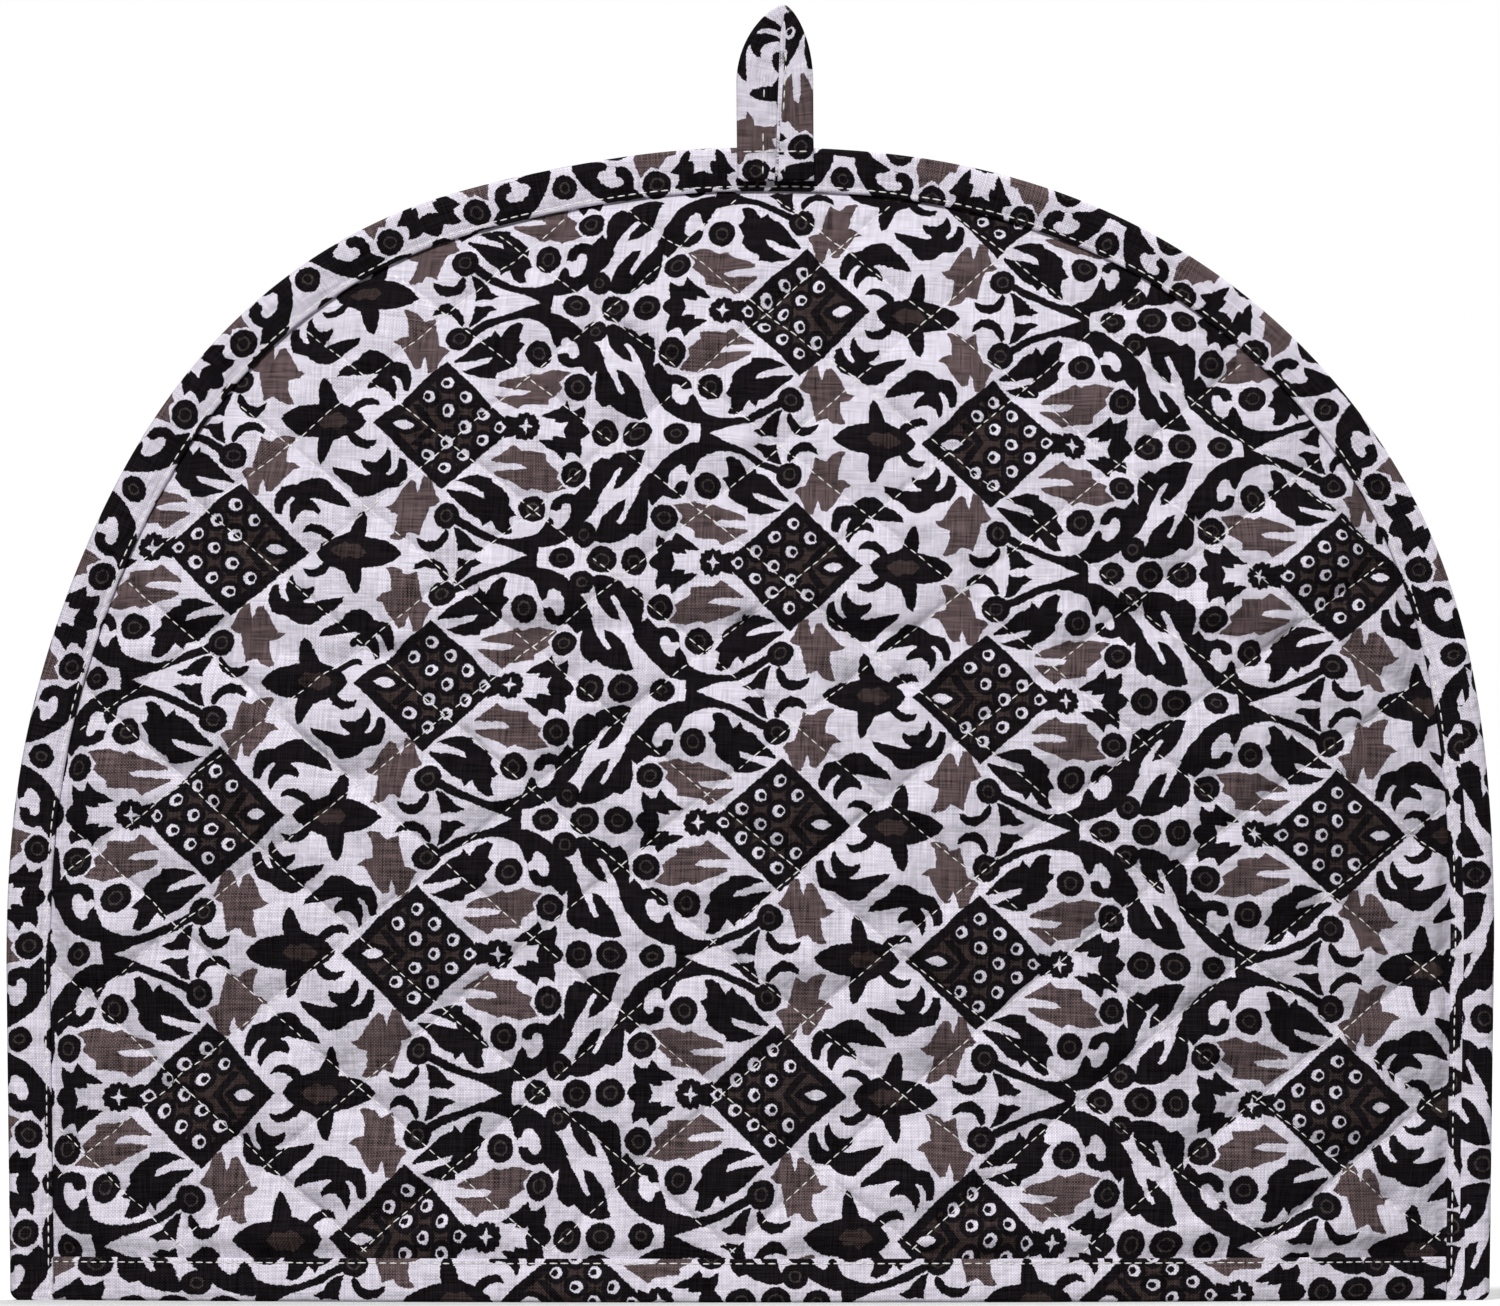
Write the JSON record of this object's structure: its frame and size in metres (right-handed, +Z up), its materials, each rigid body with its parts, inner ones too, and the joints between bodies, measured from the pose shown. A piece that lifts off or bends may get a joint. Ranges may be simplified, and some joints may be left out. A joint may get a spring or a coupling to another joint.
{
  "type": "quilted tea cosy",
  "caption": "Quilted cotton tea cosy: two half-dome panels bound round the curved edge, open at the hem, with a folded hanging loop at the top",
  "frame": {"origin": "on the floor under the middle of the open hem", "axes": "+X to the right seen from the front, the front panel faces -Y, +Z up from the hem to the loop"},
  "size_m": [0.342, 0.0998, 0.2976],
  "materials": {
    "quilted_cotton": "printed plain-weave cotton, matte",
    "binding_cotton": "printed plain-weave cotton strip, matte",
    "loop_cotton": "printed plain-weave cotton strip, matte"
  },
  "bodies": {
    "root": {"front_panel": "quilted_cotton", "back_panel": "quilted_cotton", "edge_binding": "binding_cotton", "front_hem_binding": "binding_cotton", "back_hem_binding": "binding_cotton", "hanging_loop": "loop_cotton"}
  },
  "joints": []
}
